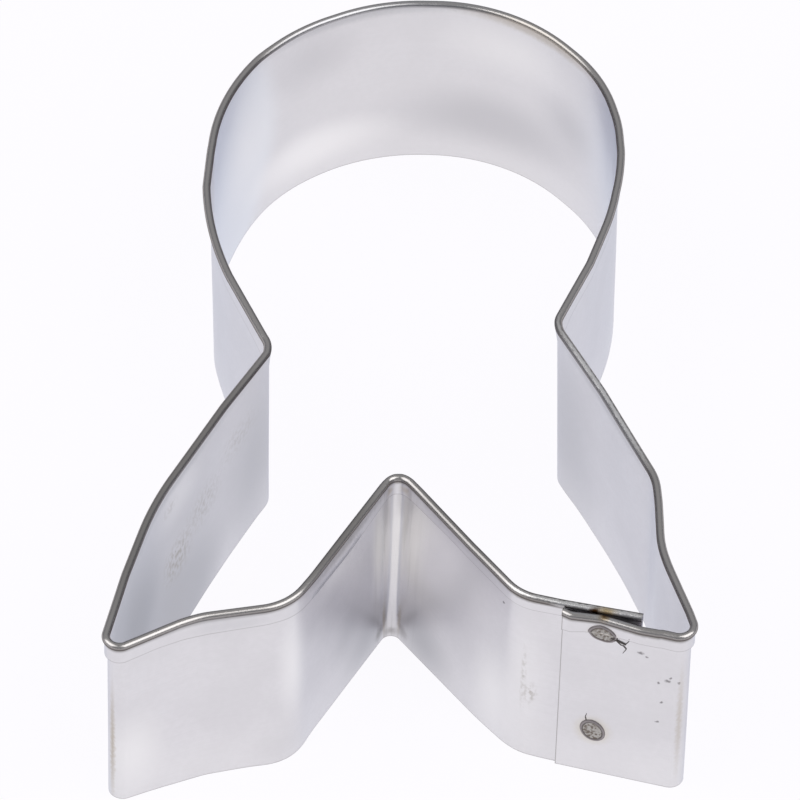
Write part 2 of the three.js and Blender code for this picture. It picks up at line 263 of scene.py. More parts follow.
# Painted reflections and painted shade: soft paler and darker patches on the inner and the outer face that
# stand in for the surroundings mirrored in the tin, with heights in place of across
INNER_PAINTED_LIGHT = (
    Mark(83.0, 18.0, 11.0, 14.0, PAINTED_DIM_TIN, 0.9, 0.0),
    Mark(98.0, 12.0, 20.0, 24.0, PAINTED_DIM_TIN, 0.45, 0.2),
    Mark(79.0, 22.0, 5.0, 6.0, PAINTED_DIM_TIN, 0.8, 0.0),
    Mark(90.0, 12.0, 8.0, 8.0, PAINTED_DIM_TIN, 0.7, 0.0),
    Mark(86.5, 13.0, 12.0, 14.0, PAINTED_DEEP_SHADE_TIN, 0.8, 0.1),
    Mark(100.0, 4.0, 12.0, 10.0, PAINTED_DIM_TIN, 1.0, 0.25),
    Mark(96.0, 7.0, 9.0, 8.0, PAINTED_DIM_TIN, 0.8, 0.0),
    Mark(116.0, 10.0, 9.0, 18.0, PAINTED_DIM_TIN, 0.8, 0.0),
    Mark(99.0, 22.0, 7.0, 5.0, PAINTED_SHEEN_TIN, 0.5, 0.0),
    Mark(186.0, 11.0, 62.0, 28.0, PAINTED_SHEEN_TIN, 0.3, 0.4),
    Mark(157.0, 14.0, 12.0, 20.0, PAINTED_COOL_SHEEN_TIN, 0.65, 0.7),
    Mark(173.0, 20.0, 8.0, 7.0, SHADED_TIN, 0.6, 0.0),
    Mark(197.0, 20.0, 12.0, 6.0, PAINTED_SHEEN_TIN, 0.85, 0.0),
    Mark(195.0, 7.5, 17.0, 6.5, SHADED_TIN, 1.0, 0.1),
    Mark(206.0, 13.0, 7.0, 6.0, SHADED_TIN, 0.9, 0.0),
    Mark(173.0, 5.0, 14.0, 5.0, PAINTED_HIGHLIGHT_TIN, 0.85, 0.1),
    Mark(162.0, 13.5, 8.0, 12.0, PAINTED_HIGHLIGHT_TIN, 0.5, 0.0),
    Mark(219.0, 16.0, 14.0, 20.0, PAINTED_COOL_SHEEN_TIN, 0.5, 0.2),
    Mark(253.0, 10.0, 9.0, 18.0, PAINTED_DIM_TIN, 0.6, 0.0),
)
OUTER_PAINTED_LIGHT = (
    Mark(12.5, 11.0, 4.0, 14.0, PAINTED_SHEEN_TIN, 0.5, 0.0),
    Mark(17.0, 6.0, 5.0, 10.0, PAINTED_SHEEN_TIN, 0.95, 0.0),
    Mark(25.0, 19.0, 10.0, 8.0, PAINTED_SHEEN_TIN, 0.95, 0.0),
    Mark(30.5, 15.0, 7.0, 12.0, PAINTED_WARM_SHEEN_TIN, 0.95, 0.0),
    Mark(28.0, 17.0, 6.5, 8.0, PAINTED_HIGHLIGHT_TIN, 0.9, 0.25),
    Mark(29.0, 3.0, 7.0, 6.0, PAINTED_DIM_TIN, 0.9, 0.0),
    Mark(35.9, 15.0, 2.0, 11.0, PAINTED_WARM_SHEEN_TIN, 0.9, 0.0),
    Mark(38.5, 3.5, 7.0, 6.0, PAINTED_DIM_TIN, 0.8, 0.0),
    Mark(43.0, 8.0, 4.5, 5.0, PAINTED_DIM_TIN, 0.5, 0.0),
    Mark(47.0, 13.0, 3.5, 4.0, PAINTED_DIM_TIN, 0.2, 0.0),
    Mark(50.5, 17.5, 3.0, 4.0, PAINTED_DIM_TIN, 0.25, 0.0),
    Mark(46.0, 21.0, 6.0, 4.5, PAINTED_SHEEN_TIN, 0.8, 0.0),
    Mark(53.5, 14.0, 3.0, 11.0, PAINTED_SHEEN_TIN, 0.9, 0.0),
    Mark(55.5, 2.5, 5.0, 4.5, SHADED_TIN, 0.4, 0.0),
    Mark(72.0, 7.0, 5.0, 9.0, PAINTED_SHEEN_TIN, 0.8, 0.0),
)
SPECK_STRENGTH = 0.65
# Dark specks beside the welds: distance from the strip's outer end, height, half length and half height
LAP_SPECKS = (
    (8.64, 21.16, 0.45, 0.3), (9.3, 20.67, 0.25, 0.2), (12.0, 17.9, 0.25, 0.2), (11.7, 17.35, 0.45, 0.35),
    (10.75, 16.76, 0.25, 0.2), (12.9, 17.3, 0.3, 0.25), (11.2, 13.74, 0.25, 0.2), (10.8, 10.46, 0.25, 0.2),
)

# Weld metal, in linear colour
WELD_PALE = (0.46, 0.44, 0.42, 1)
WELD_DARK = (0.17, 0.14, 0.118, 1)
WELD_BURNT = (0.10, 0.088, 0.084, 1)
WELD_RIM = (0.30, 0.27, 0.275, 1)
WELD_GRAIN = 3400.0
WELD_GRAIN_DETAIL = 3.0
WELD_GRAIN_LOW = 0.4
WELD_GRAIN_HIGH = 0.65
WELD_BURNT_FADE = 0.06
WELD_RIM_CORE = 0.03
WELD_METALLIC = 0.8
WELD_ROUGHNESS = 0.42
WELD_BUMP = 0.6
WELD_BUMP_DEPTH = 0.05
THREAD_METALLIC = 0.5
THREAD_ROUGHNESS = 0.5

# Floor, surroundings and lamps
FLOOR_RADIUS = 3.0
FLOOR_SIDES = 64
FLOOR_COLOUR = (0.9, 0.9, 0.9, 1)
FLOOR_GLOW = (1.0, 0.988, 1.02, 1)
FLOOR_SEEN_GLOW = 0.95
FLOOR_MIRROR_GLOW = 0.75
# Colours of the surroundings, each after its height: 0 at the horizon and 1 overhead
SKY = (
    (0.0, 0.21, 0.225, 0.25), (0.35, 0.27, 0.28, 0.30), (0.7, 0.43, 0.435, 0.445), (1.0, 0.36, 0.365, 0.37),
)
Softbox = namedtuple("Softbox", "name azimuth elevation distance width height watts")
SOFTBOXES = (
    Softbox("key", 61, 51, 1.0, 0.9, 0.9, 4.5),
    Softbox("fill", -73, 47, 1.0, 0.9, 0.9, 4.2),
)

# Camera, as in the photograph
CAMERA_AIM = Vector((-0.67, -1.24, 12.7))
CAMERA_DISTANCE = 877.2
CAMERA_PITCH = math.radians(48)
CAMERA_ROLL = math.radians(1.5)
CAMERA_LENS = 360
CAMERA_SENSOR = 36


def unit(vector):
    return vector / np.linalg.norm(vector)


def ease(share):
    share = np.clip(share, 0, 1)
    return share * share * (3 - 2 * share)


def left_of(direction):
    return np.array((-direction[1], direction[0]))


# The foot that carries the lap
FOOT_ORIGIN = np.array(RIGHT_CROTCH[:2])
FOOT_RUN = unit(np.array(RIGHT_CORNER[:2]) - FOOT_ORIGIN)
FOOT_OUT = -left_of(FOOT_RUN)


def on_foot(along, out):
    """Point of the plan on the right foot, at a distance from the crotch and outward of the inner layer."""
    return FOOT_ORIGIN + FOOT_RUN * along + FOOT_OUT * out


class StripPath:
    """Stations along the middle of the sheet at the cutting edge: place, outward direction, run and lean."""

    def __init__(self):
        self.places = []
        self.directions = []
        self.bend_ends = []
        self.walk()
        self.places = np.array(self.places)
        directions = np.array(self.directions)
        self.outward = np.stack((-directions[:, 1], directions[:, 0]), axis=1)
        steps = np.linalg.norm(np.diff(self.places, axis=0), axis=1)
        self.run = np.concatenate(((0.0,), np.cumsum(steps)))
        self.length = self.run[-1]
        self.lean = self.leans()

    def walk(self):
        corner = np.array(RIGHT_CORNER[:2]) + FOOT_OUT * LAP_STEP
        route = [on_foot(LAP_START + LAP_LENGTH, 0)]
        route += [np.array(bend[:2]) for bend in BENDS[:-1]]
        route += [corner, on_foot(LAP_START, LAP_STEP)]
        legs = np.diff(np.array(route), axis=0)
        lengths = np.linalg.norm(legs, axis=1)
        headings = legs / lengths[:, None]
        turns = [0.0]
        for before, after in zip(headings[:-1], headings[1:]):
            turns.append(math.atan2(before[0] * after[1] - before[1] * after[0], before @ after))
        turns.append(0.0)
        setbacks = self.share_straights(turns, lengths)
        for i, heading in enumerate(headings):
            start = route[i] + heading * setbacks[i]
            end = route[i + 1] - heading * setbacks[i + 1]
            lapped = i in (0, len(headings) - 1)
            self.add_straight(start, end, heading, LAP_STATION_STEP if lapped else STATION_STEP)
            if i + 1 < len(headings):
                self.add_bend(end, heading, turns[i + 1], setbacks[i + 1])

    def share_straights(self, turns, lengths):
        """Length that each bend takes of its straights. Bends that crowd a straight share it."""
        wanted = [0.0]
        for bend, turn in zip(BENDS, turns[1:]):
            inside = ROLL_REACH if turn > 0 else HALF
            wanted.append((bend.radius + inside) * math.tan(abs(turn) / 2))
        wanted.append(0.0)
        shares = []
        for i, length in enumerate(lengths):
            shares.append(min(1.0, (length - LEAST_STRAIGHT) / (wanted[i] + wanted[i + 1])))
        setbacks = [0.0]
        for i in range(1, len(wanted) - 1):
            setbacks.append(wanted[i] * min(shares[i - 1], shares[i]))
        return setbacks + [0.0]

    def add_straight(self, start, end, heading, step):
        count = max(2, math.ceil(np.linalg.norm(end - start) / step))
        for part in np.arange(1 if self.places else 0, count + 1) / count:
            self.places.append(start + (end - start) * part)
            self.directions.append(heading)

    def add_bend(self, start, heading, turn, setback):
        radius = setback / math.tan(abs(turn) / 2)
        side = math.copysign(1, turn)
        centre = start + left_of(heading) * side * radius
        count = max(2, math.ceil(abs(turn) / BEND_STEP), math.ceil(abs(turn) * radius / STATION_STEP))
        first = len(self.places) - 1
        for i in range(1, count + 1):
            angle = turn * i / count
            spin = np.array(((math.cos(angle), -math.sin(angle)), (math.sin(angle), math.cos(angle))))
            self.places.append(centre + spin @ (start - centre))
            self.directions.append(spin @ heading)
        self.bend_ends.append((first, len(self.places) - 1))

    def leans(self):
        """Lean of the rolled edge at each station. The lap's outer layer is measured from its own end."""
        leans = np.interp(self.run, *zip(*LEANS))
        from_end = self.length - self.run
        lapped = np.interp(from_end, *zip(*OUTER_LAP_LEANS))
        return np.where(from_end < OUTER_LAP_LEANS[-1][0], lapped, leans)


Section = namedtuple("Section", "out height across flap_share raw_edge_across groove_across")


def arc(radius, start, end, steps):
    """Points about the middle of the roll, from one angle to another in degrees, without the first one."""
    angles = np.radians(np.linspace(start, end, steps + 1))[1:]
    middle = ROLL_DIAMETER / 2 - HALF
    return [(middle + radius * math.cos(a), ROLL_HEIGHT + radius * math.sin(a)) for a in angles]


def strip_section():
    """Outline of the strip's section, from the cutting edge up the inner face, over the roll and back down.

    across is the height on the inner face, runs on over the roll and down the flap, and is negative on the
    outer face, so that one pair of sheet coordinates tells the two faces apart.
    """
    rows = np.linspace(0, ROLL_HEIGHT, WALL_ROWS + 1)
    flap_rows = np.linspace(FLAP_TOP, RAW_EDGE_HEIGHT + EDGE_ROUND, FLAP_ROWS + 1)
    hem = [(-HALF, ROLL_HEIGHT)]
    hem += arc(ROLL_DIAMETER / 2, 180, -ROLL_TUCK, ROLL_STEPS)
    hem += [(FLAP_OUTER, height) for height in flap_rows]
    hem += [(FLAP_OUTER - EDGE_ROUND, RAW_EDGE_HEIGHT), (FLAP_INNER, RAW_EDGE_HEIGHT)]
    hem += [(FLAP_INNER, height) for height in flap_rows[-2::-1]]
    hem += arc(ROLL_BORE / 2, 180, -ROLL_TUCK, BORE_STEPS)[::-1]
    hem = np.array(hem)
    steps = np.linalg.norm(np.diff(hem, axis=0), axis=1)
    hem_across = ROLL_HEIGHT + np.concatenate(((0.0,), np.cumsum(steps)))
    hem_flap = np.clip((FLAP_TOP - hem[:, 1]) / FLAP_DEPTH, 0, 1)
    out = np.concatenate((np.full(WALL_ROWS, -HALF), hem[:, 0], np.full(WALL_ROWS + 1, HALF)))
    height = np.concatenate((rows[:-1], hem[:, 1], rows[::-1]))
    across = np.concatenate((rows[:-1], hem_across, -SHEET - rows[::-1]))
    flap_share = np.concatenate((np.zeros(WALL_ROWS), hem_flap, np.zeros(WALL_ROWS + 1)))
    raw_edge_across = hem_across[ROLL_STEPS + FLAP_ROWS + 2]
    return Section(out, height, across, flap_share, raw_edge_across, hem_across[ROLL_STEPS])


def away_from_lap(run, length):
    """0 where the ends lap each other and 1 away from them."""
    clear = np.minimum(run - LAP_LENGTH, length - LAP_LENGTH - run) / WAVE_LENGTH
    return np.clip(clear, 0, 1)


def strip_vertices(path, section):
    """Corners of the strip's mesh in millimetres, one row of the section at each station."""
    calm = away_from_lap(path.run, path.length)
    raw_edge = np.interp(path.run, *zip(*RAW_EDGE))
    near = path.run + SHIFT_BLUR[:, None]
    edge_shift = np.interp(near, *zip(*EDGE_SHIFTS)).mean(axis=0)
    hem_shift = np.interp(near, *zip(*HEM_SHIFTS)).mean(axis=0)
    grid = np.zeros((len(path.run), len(section.out), 3))
    for i, run in enumerate(path.run):
        height = section.height + section.flap_share * (raw_edge[i] - RAW_EDGE_HEIGHT)
        places = [Vector((run / WAVE_LENGTH, h / WAVE_LENGTH, WAVE_LAYER)) for h in section.height]
        waves = WAVE_HEIGHT * calm[i] * np.array([noise.noise(place) for place in places])
        rise = np.clip(height / ROLL_HEIGHT, 0, 1)
        held = ease((height - ROLL_HEIGHT) / SHIFT_FADE + 1)
        shift = (edge_shift[i] * (1 - rise) + hem_shift[i] * rise) * (1 - held)
        out = section.out + path.lean[i] * height / STRIP_DEPTH + shift + waves
        grid[i, :, :2] = path.places[i] + out[:, None] * path.outward[i]
        grid[i, :, 2] = height
    return grid


def bend_wear(path):
    """1 in the tight bends, where the tin is worn in streaks, fading out beside them."""
    wear = np.zeros(len(path.run))
    for bend, (first, last) in zip(BENDS, path.bend_ends):
        if bend.radius <= TIGHT_RADIUS:
            beyond = np.maximum(path.run[first] - path.run, path.run - path.run[last])
            wear = np.maximum(wear, np.exp(-np.maximum(beyond, 0) / WEAR_FADE))
    return wear


def mesh_piece(name, vertices, faces, material):
    """A smooth-shaded object from corners in metres."""
    mesh = bpy.data.meshes.new(name)
    mesh.from_pydata(vertices, [], faces)
    mesh.shade_smooth()
    mesh.set_sharp_from_angle(angle=SHARP_ANGLE)
    mesh.materials.append(material)
    piece = bpy.data.objects.new(name, mesh)
    bpy.context.scene.collection.objects.link(piece)
    return piece


def set_uv(piece, name, uv_of_loops):
    layer = piece.data.uv_layers.new(name=name)
    layer.uv.foreach_set("vector", np.asarray(uv_of_loops, dtype=np.float32).ravel())


def ribbon_strip(path, grid, section, material):
    """The bent strip, closed at both ends, with sheet coordinates along and across it in millimetres."""
    stations, points = grid.shape[:2]
    vertices = np.clip(grid.reshape(-1, 3) * MM, *np.array(cad_box))
    wear = bend_wear(path)
    faces = []
    sheet = []
    wear_of_loops = []
    for i in range(stations - 1):
        for j in range(points):
            k = (j + 1) % points
            faces.append((i * points + j, (i + 1) * points + j, (i + 1) * points + k, i * points + k))
            for station, point in ((i, j), (i + 1, j), (i + 1, k), (i, k)):
                sheet.append((path.run[station], section.across[point]))
                wear_of_loops.append((wear[station], 0.0))
    for station, order in ((0, range(points)), (stations - 1, range(points - 1, -1, -1))):
        faces.append([station * points + j for j in order])
        sheet += [(path.run[station] + section.out[j], section.across[j]) for j in order]
        wear_of_loops += [(0.0, 0.0)] * points
    piece = mesh_piece("ribbon_strip", vertices, faces, material)
    set_uv(piece, "sheet", sheet)
    set_uv(piece, "wear", wear_of_loops)
    return piece


def lap_face(from_end, height):
    """How far outward the lap's outer face stands: on the flap above the raw edge, on the wall below it."""
    lean = np.interp(from_end, *zip(*OUTER_LAP_LEANS))
    raw_edge = np.interp(STRIP_LENGTH - from_end, *zip(*RAW_EDGE))
    on_flap = ease((height - raw_edge) / FLAP_EASE + 0.5)
    return LAP_STEP + lean * height / STRIP_DEPTH + HALF + (FLAP_OUTER - HALF) * on_flap


def on_lap(from_end, height, out):
    """Point in millimetres on the lap's outer face, raised by out."""
    return (*on_foot(LAP_START + from_end, lap_face(from_end, height) + out), height)


def behind_lap(from_end, height, out):
    """Point in millimetres on the inner face of the lap's inner layer, raised by out into the cutter."""
    lean = np.interp(LAP_LENGTH - from_end, *zip(*LEANS))
    return (*on_foot(LAP_START + from_end, lean * height / STRIP_DEPTH - HALF - out), height)


def weld_relief(share, x, y):
    """Height of a weld's face above the sheet: a dished and crinkled middle inside a raised ring."""
    crinkle = WELD_CRINKLE * noise.noise(Vector((x, y, 0)) / WELD_CRINKLE_LENGTH)
    dish = -WELD_DISH * (1 - share ** 2) + crinkle
    ring = WELD_RISE * math.sin(math.pi * min(1, max(0, (share - WELD_RING) / (1 - WELD_RING))))
    middle = ease((WELD_RING - share) / WELD_MIDDLE_FADE)
    fall = (WELD_LIFT + WELD_SINK) * ease((share - WELD_RING_TOP) / (1 - WELD_RING_TOP))
    return WELD_LIFT + dish * middle + ring - fall


def spot_weld(weld, shift, material):
    """A weld slug through both layers, from the inside of the cutter to its dished outer face."""
    spokes = [2 * math.pi * i / WELD_SIDES for i in range(WELD_SIDES)]
    shares = np.arange(1, WELD_RINGS + 1) / WELD_RINGS
    turn = Matrix.Rotation(weld.tilt, 2)
    rings = []
    for raised, ring_shares in ((on_lap, shares), (behind_lap, WELD_BACK_SHARES)):
        for share in ring_shares:
            for spoke in spokes:
                rim = Vector((weld.half_long * math.cos(spoke), weld.half_short * math.sin(spoke)))
                x, y = turn @ rim * share
                out = weld_relief(share, x, y) if raised is on_lap else WELD_BACK * (share < 1)
                rings.append((raised(weld.from_end + x, weld.height + y, out), share))
    front = (on_lap(weld.from_end, weld.height, weld_relief(0, 0, 0)), 0.0)
    back = (behind_lap(weld.from_end, weld.height, WELD_BACK), 0.0)
    corners = [*rings, front, back]
    last_ring = len(rings) - WELD_SIDES
    faces = []
    for i in range(WELD_SIDES):
        k = (i + 1) % WELD_SIDES
        faces.append((len(rings), i, k))
        for ring in range(0, last_ring, WELD_SIDES):
            faces.append((ring + i, ring + WELD_SIDES + i, ring + WELD_SIDES + k, ring + k))
        faces.append((last_ring + i, len(rings) + 1, last_ring + k))
    vertices = (np.array([place for place, share in corners]) + shift) * MM
    piece = mesh_piece(weld.node + "_face", vertices, faces, material)
    set_uv(piece, "disc", [(corners[corner][1], 0.0) for face in faces for corner in face])
    return piece


def tube(points, start_radius, end_radius):
    """Corners and faces of a thin tapered tube along points in millimetres, with closed ends."""
    points = [Vector(point) for point in points]
    vertices = []
    for i, point in enumerate(points):
        heading = (points[min(i + 1, len(points) - 1)] - points[max(i - 1, 0)]).normalized()
        side = heading.cross(ACROSS_WHISKERS).normalized()
        other = heading.cross(side)
        radius = start_radius + (end_radius - start_radius) * i / (len(points) - 1)
        for spoke in range(WHISKER_SIDES):
            angle = 2 * math.pi * spoke / WHISKER_SIDES
            vertices.append(point + (side * math.cos(angle) + other * math.sin(angle)) * radius)
    faces = []
    for i in range(0, len(vertices) - WHISKER_SIDES, WHISKER_SIDES):
        for spoke in range(WHISKER_SIDES):
            k = (spoke + 1) % WHISKER_SIDES
            faces.append((i + spoke, i + k, i + WHISKER_SIDES + k, i + WHISKER_SIDES + spoke))
    last = len(vertices) - WHISKER_SIDES
    faces.append(tuple(reversed(range(WHISKER_SIDES))))
    faces.append(tuple(range(last, last + WHISKER_SIDES)))
    return vertices, faces


def weld_whiskers(shift, material):
    """Hair-thin threads of metal squirted out of the welds, lying on the sheet."""
    vertices = []
    faces = []
    for whisker in WHISKERS:
        places = []
        for share in np.linspace(0, len(whisker.places) - 1, WHISKER_STEPS):
            stops = range(len(whisker.places))
            from_end, height = (np.interp(share, stops, axis) for axis in zip(*whisker.places))
            places.append(on_lap(from_end, height, WHISKER_RAISE * whisker.radius))
        corners, sides = tube(places, whisker.radius, whisker.end_radius)
        faces += [tuple(len(vertices) + corner for corner in side) for side in sides]
        vertices += corners
    return mesh_piece("weld_whiskers", (np.array(vertices) + shift) * MM, faces, material)


def add(tree, kind, **settings):
    """A new shader node. A setting that names an input fills or links it, and any other sets a property."""
    node = tree.nodes.new("ShaderNode" + kind)
    for name, value in settings.items():
        if hasattr(node, name):
            setattr(node, name, value)
        else:
            feed(tree, node.inputs[name.replace("_", " ")], value)
    return node


def feed(tree, socket, value):
    if isinstance(value, bpy.types.NodeSocket):
        tree.links.new(value, socket)
    else:
        socket.default_value = value


def feed_all(tree, sockets, values):
    for socket, value in zip(sockets, values):
        feed(tree, socket, value)


def math_node(tree, operation, *values):
    node = add(tree, "Math", operation=operation)
    feed_all(tree, node.inputs, values)
    return node.outputs[0]


def vector_node(tree, operation, *values):
    node = add(tree, "VectorMath", operation=operation)
    feed_all(tree, node.inputs, values)
    return node.outputs[1] if operation == "LENGTH" else node.outputs[0]


def remap(tree, value, low, high, to_low=0.0, to_high=1.0):
    """A value eased from one range to another, and held at its ends."""
    node = add(tree, "MapRange", interpolation_type="SMOOTHSTEP")
    feed_all(tree, node.inputs, (value, low, high, to_low, to_high))
    return node.outputs[0]


def blend(tree, share, first, second):
    """A share of the second colour over the first one."""
    node = add(tree, "Mix", data_type="RGBA")
    feed_all(tree, (node.inputs[0], node.inputs[6], node.inputs[7]), (share, first, second))
    return node.outputs[2]


def new_material(name):
    material = bpy.data.materials.new(name)
    material.use_nodes = True
    tree = material.node_tree
    return material, tree, tree.nodes["Principled BSDF"]


def patterned(tree, coordinates, pattern):
    """Soft noise on the sheet, from 0 up to the strength of its pattern."""
    place = vector_node(tree, "MULTIPLY", coordinates, (1 / pattern.length, 1 / pattern.width, 1.0))
    texture = add(tree, "TexNoise", noise_dimensions="2D", Vector=place, Scale=1.0, Detail=pattern.detail)
    return remap(tree, texture.outputs[0], pattern.low, pattern.high, 0.0, pattern.strength)


def band(tree, value, middle, half_width, half_core=0.0):
    """1 in the core of a range of values, fading to 0 at its ends."""
    distance = math_node(tree, "ABSOLUTE", math_node(tree, "SUBTRACT", value, middle))
    return remap(tree, distance, half_core, half_width, 1.0, 0.0)


def spot(tree, coordinates, mark):
    """1 in the middle of a mark on the sheet, fading to 0 at its rim."""
    place = vector_node(tree, "SUBTRACT", coordinates, (mark.run, mark.across, 0.0))
    place = vector_node(tree, "MULTIPLY", place, (1 / mark.half_length, 1 / mark.half_height, 0.0))
    return remap(tree, vector_node(tree, "LENGTH", place), mark.core, 1.0, mark.strength, 0.0)


def ragged(tree, coordinates):
    """Sheet coordinates shaken by fine noise, so that marks have uneven rims."""
    place = vector_node(tree, "MULTIPLY", coordinates, (RAGGED_SCALE, RAGGED_SCALE, 1.0))
    texture = add(tree, "TexNoise", noise_dimensions="2D", Vector=place, Scale=1.0, Detail=RAGGED_DETAIL)
    shake = vector_node(tree, "SUBTRACT", texture.outputs[1], (0.5, 0.5, 0.5))
    return vector_node(tree, "ADD", coordinates, vector_node(tree, "MULTIPLY", shake, (RAGGED_REACH,) * 3))


def outer(height):
    """Place across the sheet of a height on the outer face, which counts downward from below 0."""
    return -SHEET - height


def hem_grime_and_painted_light(section, length):
    """Grime along the roll and stains on the flap, with painted light: painted shade and painted highlights
    on the roll, painted shade in the groove under it, on the flap and on the wall just under the roll, and
    painted light that lifts the roll's dark sides.
    """
    groove = section.groove_across
    roll = (ROLL_HEIGHT + groove) / 2
    flap = (groove + section.raw_edge_across) / 2
    return [
        # Painted light lifting the dark gap between the lap's two rolls, with painted shade and a painted
        # highlight on the inner layer's roll
        Mark(4.3, roll + 0.4, 6.0, 0.9, SHADED_TIN, 0.8, 0.75),
        Mark(7.0, ROLL_HEIGHT + 0.4, 13.0, 0.36, GRIME_AND_SHADE, 0.5, 0.3),
        Mark(6.0, ROLL_HEIGHT + 0.86, 11.0, 0.28, PAINTED_HIGHLIGHT_TIN, 0.9, 0.4),
        Mark(6.0, ROLL_HEIGHT + 1.3, 11.0, 0.3, GRIME_AND_SHADE, 0.3, 0.3),
        Mark(length - 4.3, ROLL_HEIGHT + 0.3, 5.0, 0.7, SHADED_TIN, 0.5, 0.7),
        # Painted shade with some grime in the groove under the roll
        Mark(14.0, groove, 6.0, 0.8, GRIME_AND_SHADE, 0.4, 0.2),
        Mark(25.0, groove + 0.6, 11.0, 1.0, GRIME_AND_SHADE, 0.12, 0.0),
        # A painted mid tone that tones down the painted shade and highlight of the roll
        Mark(24.0, ROLL_HEIGHT + 0.9, 10.0, 1.1, ROLL_PAINTED_MID_TONE, 0.7, 0.4),
        Mark(33.1, flap, 0.7, 1.0, BROWN_STAIN_AND_SHADE, 0.6, 0.0),
        Mark(34.4, flap, 0.5, 0.9, BROWN_STAIN_AND_SHADE, 0.6, 0.0),
        Mark(44.0, ROLL_HEIGHT + 0.7, 10.0, 0.9, GRIME_AND_SHADE, 0.3, 0.3),
        # Painted shade with some grime in the groove under the roll
        Mark(43.0, groove + 0.6, 11.0, 1.0, GRIME_AND_SHADE, 0.45, 0.0),
        Mark(length - 9.0, groove, 8.0, 0.8, GRIME_AND_SHADE, 0.35, 0.2),
        # Painted light lifting the left foot's groove, and painted shade on its flap
        Mark(64.0, groove, 10.0, 0.8, PAINTED_DIM_TIN, 0.35, 0.3),
        Mark(60.5, flap, 6.0, 1.4, PAINTED_DIM_TIN, 0.3, 0.2),
        Mark(98.0, ROLL_HEIGHT + 0.7, 24.0, 0.9, GRIME_AND_SHADE, 0.3, 0.5),
        # Painted light lifting the roll's dark inner side at the loop's top and on the right leg, and painted
        # shade and a painted highlight on the right leg's roll
        Mark(188.0, ROLL_HEIGHT + 0.3, 27.0, 0.8, PAINTED_DIM_TIN, 0.5, 0.5),
        Mark(261.0, ROLL_HEIGHT + 0.2, 13.0, 0.6, PAINTED_DIM_TIN, 0.5, 0.6),
        Mark(260.0, ROLL_HEIGHT + 1.1, 14.0, 0.3, GRIME_AND_SHADE, 0.4, 0.3),
        Mark(260.0, ROLL_HEIGHT + 0.66, 14.0, 0.28, PAINTED_HIGHLIGHT_TIN, 1.0, 0.5),
        # Painted shade on the wall just under the roll, warm at the loop's top right
        Mark(262.0, ROLL_HEIGHT - 0.5, 17.0, 1.0, PAINTED_DIM_TIN, 0.6, 0.0),
        Mark(178.0, ROLL_HEIGHT - 0.2, 16.0, 1.3, PAINTED_DIM_TIN, 0.6, 0.2),
        Mark(201.0, ROLL_HEIGHT - 0.2, 13.0, 1.3, BROWN_STAIN_AND_SHADE, 0.6, 0.2),
        Mark(98.0, ROLL_HEIGHT - 0.5, 23.0, 1.2, PAINTED_DIM_TIN, 0.7, 0.0),
    ]


def wall_marks(length):
    """Smudges on both faces, stains down the bends, grime with painted shade at the foot of the notch's
    crease, and specks.
    """
    found = []
    for from_end, height, half_length, half_height in LAP_SPECKS:
        found.append(Mark(length - from_end, outer(height), half_length, half_height, SPECK, SPECK_STRENGTH))
    return found + [
        Mark(16.2, outer(21.24), 0.25, 0.25, SPECK, 0.7),
        Mark(98.4, 12.4, 4.6, 4.4, SMUDGE, 0.85, 0.0),
        Mark(104.5, 14.8, 6.0, 4.2, SMUDGE, 0.45, 0.0),
        Mark(112.6, 18.0, 6.0, 3.6, SMUDGE, 0.3, 0.0),
        Mark(96.9, 21.9, 2.4, 1.4, SMUDGE, 0.4, 0.0),
        Mark(11.6, outer(9.8), 1.1, 2.4, SMUDGE, 0.7, 0.0),
        Mark(12.5, outer(12.0), 0.5, 7.0, SMUDGE, 0.5, 0.0),
        Mark(74.3, outer(9.0), 0.5, 13.0, BROWN_STAIN_AND_SHADE, 0.8, 0.0),
        Mark(296.2, outer(11.0), 0.5, 12.0, BROWN_STAIN_AND_SHADE, 0.5, 0.0),
        Mark(33.0, outer(3.0), 0.4, 3.5, BROWN_STAIN_AND_SHADE, 0.6, 0.0),
        Mark(34.9, outer(3.0), 0.4, 3.5, BROWN_STAIN_AND_SHADE, 0.6, 0.0),
        # Grime with painted shade at the foot of the notch's crease
        Mark(33.9, outer(0.9), 1.3, 0.9, GRIME_AND_SHADE, 0.4, 0.0),
        Mark(32.3, outer(1.6), 1.2, 1.4, GRIME_AND_SHADE, 0.4, 0.0),
        Mark(35.9, outer(1.6), 1.2, 1.4, GRIME_AND_SHADE, 0.5, 0.0),
    ]


def weld_marks(section, length):
    """Heat tint of the welds, on the rolls of both layers and round the slugs."""
    roll = (ROLL_HEIGHT + section.groove_across) / 2
    upper = length - UPPER_WELD.from_end
    lower = length - LOWER_WELD.from_end
    inner_layer = LAP_LENGTH - UPPER_WELD.from_end
    return [
        Mark(upper, roll - 0.3, 0.9, 0.8, GOLD_TINT, 0.7, 0.0),
        Mark(upper, ROLL_HEIGHT + 0.5, 0.8, 0.8, BURNT_TINT, 0.9, 0.0),
        Mark(inner_layer, roll, 1.7, 0.8, GOLD_TINT, 0.75, 0.0),
        Mark(inner_layer + 1.2, ROLL_HEIGHT + 1.3, 0.9, 0.8, BURNT_TINT, 1.0, 0.2),
        Mark(lower, outer(LOWER_WELD.height), 2.6, 2.8, HALO_TINT, 0.5),
        Mark(upper, section.raw_edge_across, 2.3, 2.2, HALO_TINT, 0.35),
    ]


